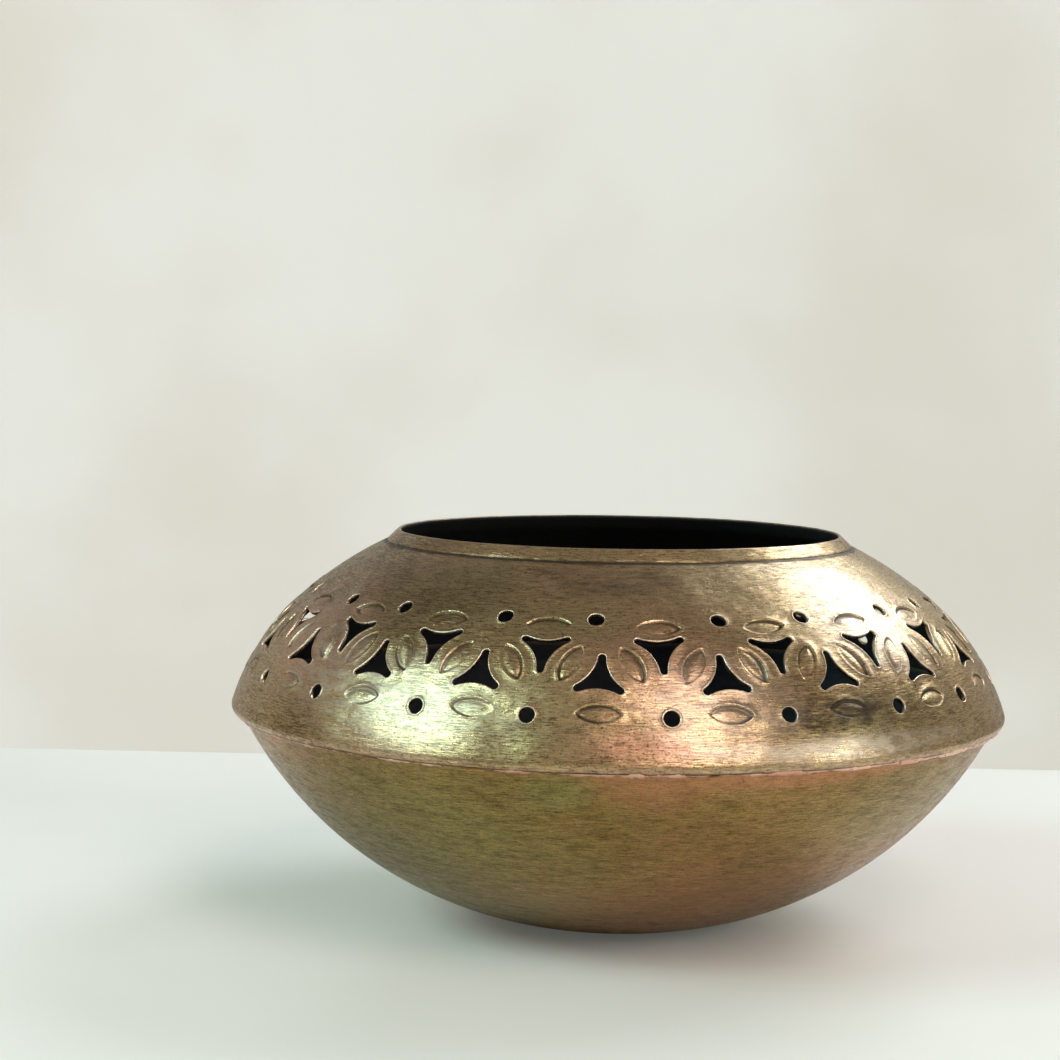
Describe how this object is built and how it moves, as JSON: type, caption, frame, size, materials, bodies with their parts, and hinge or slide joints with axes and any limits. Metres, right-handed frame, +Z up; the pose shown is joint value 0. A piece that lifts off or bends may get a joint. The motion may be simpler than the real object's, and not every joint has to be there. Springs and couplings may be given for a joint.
{
  "type": "pierced brass incense burner",
  "caption": "Low round incense burner of two brazed brass shells, with a pierced band of interlaced flowers, a wide open mouth and a loose burner dish.",
  "frame": {"origin": "centre of the flat base, on the surface it stands on", "axes": "+Z up along the axis of the vessel, out of its mouth; -Y towards the viewer"},
  "size_m": [0.15, 0.15, 0.0756],
  "materials": {
    "bowl_brass": "antiqued brass, brushed round the axis, olive gold outside and blackened inside",
    "shell_brass": "antiqued brass, brushed round the axis and burnished over the flower band, blackened inside",
    "braze": "copper-coloured braze metal, uneven",
    "dish_brass": "heat-darkened brass"
  },
  "bodies": {
    "vessel": {"lower_bowl": "bowl_brass", "upper_shell": "shell_brass", "braze_seam": "braze"},
    "dish": {"burner_dish": "dish_brass"}
  },
  "joints": [
    {"name": "dish_lift", "type": "slide", "parent": "vessel", "child": "dish", "axis": [0, 0, 1], "range_m": [0, 0.085]}
  ]
}
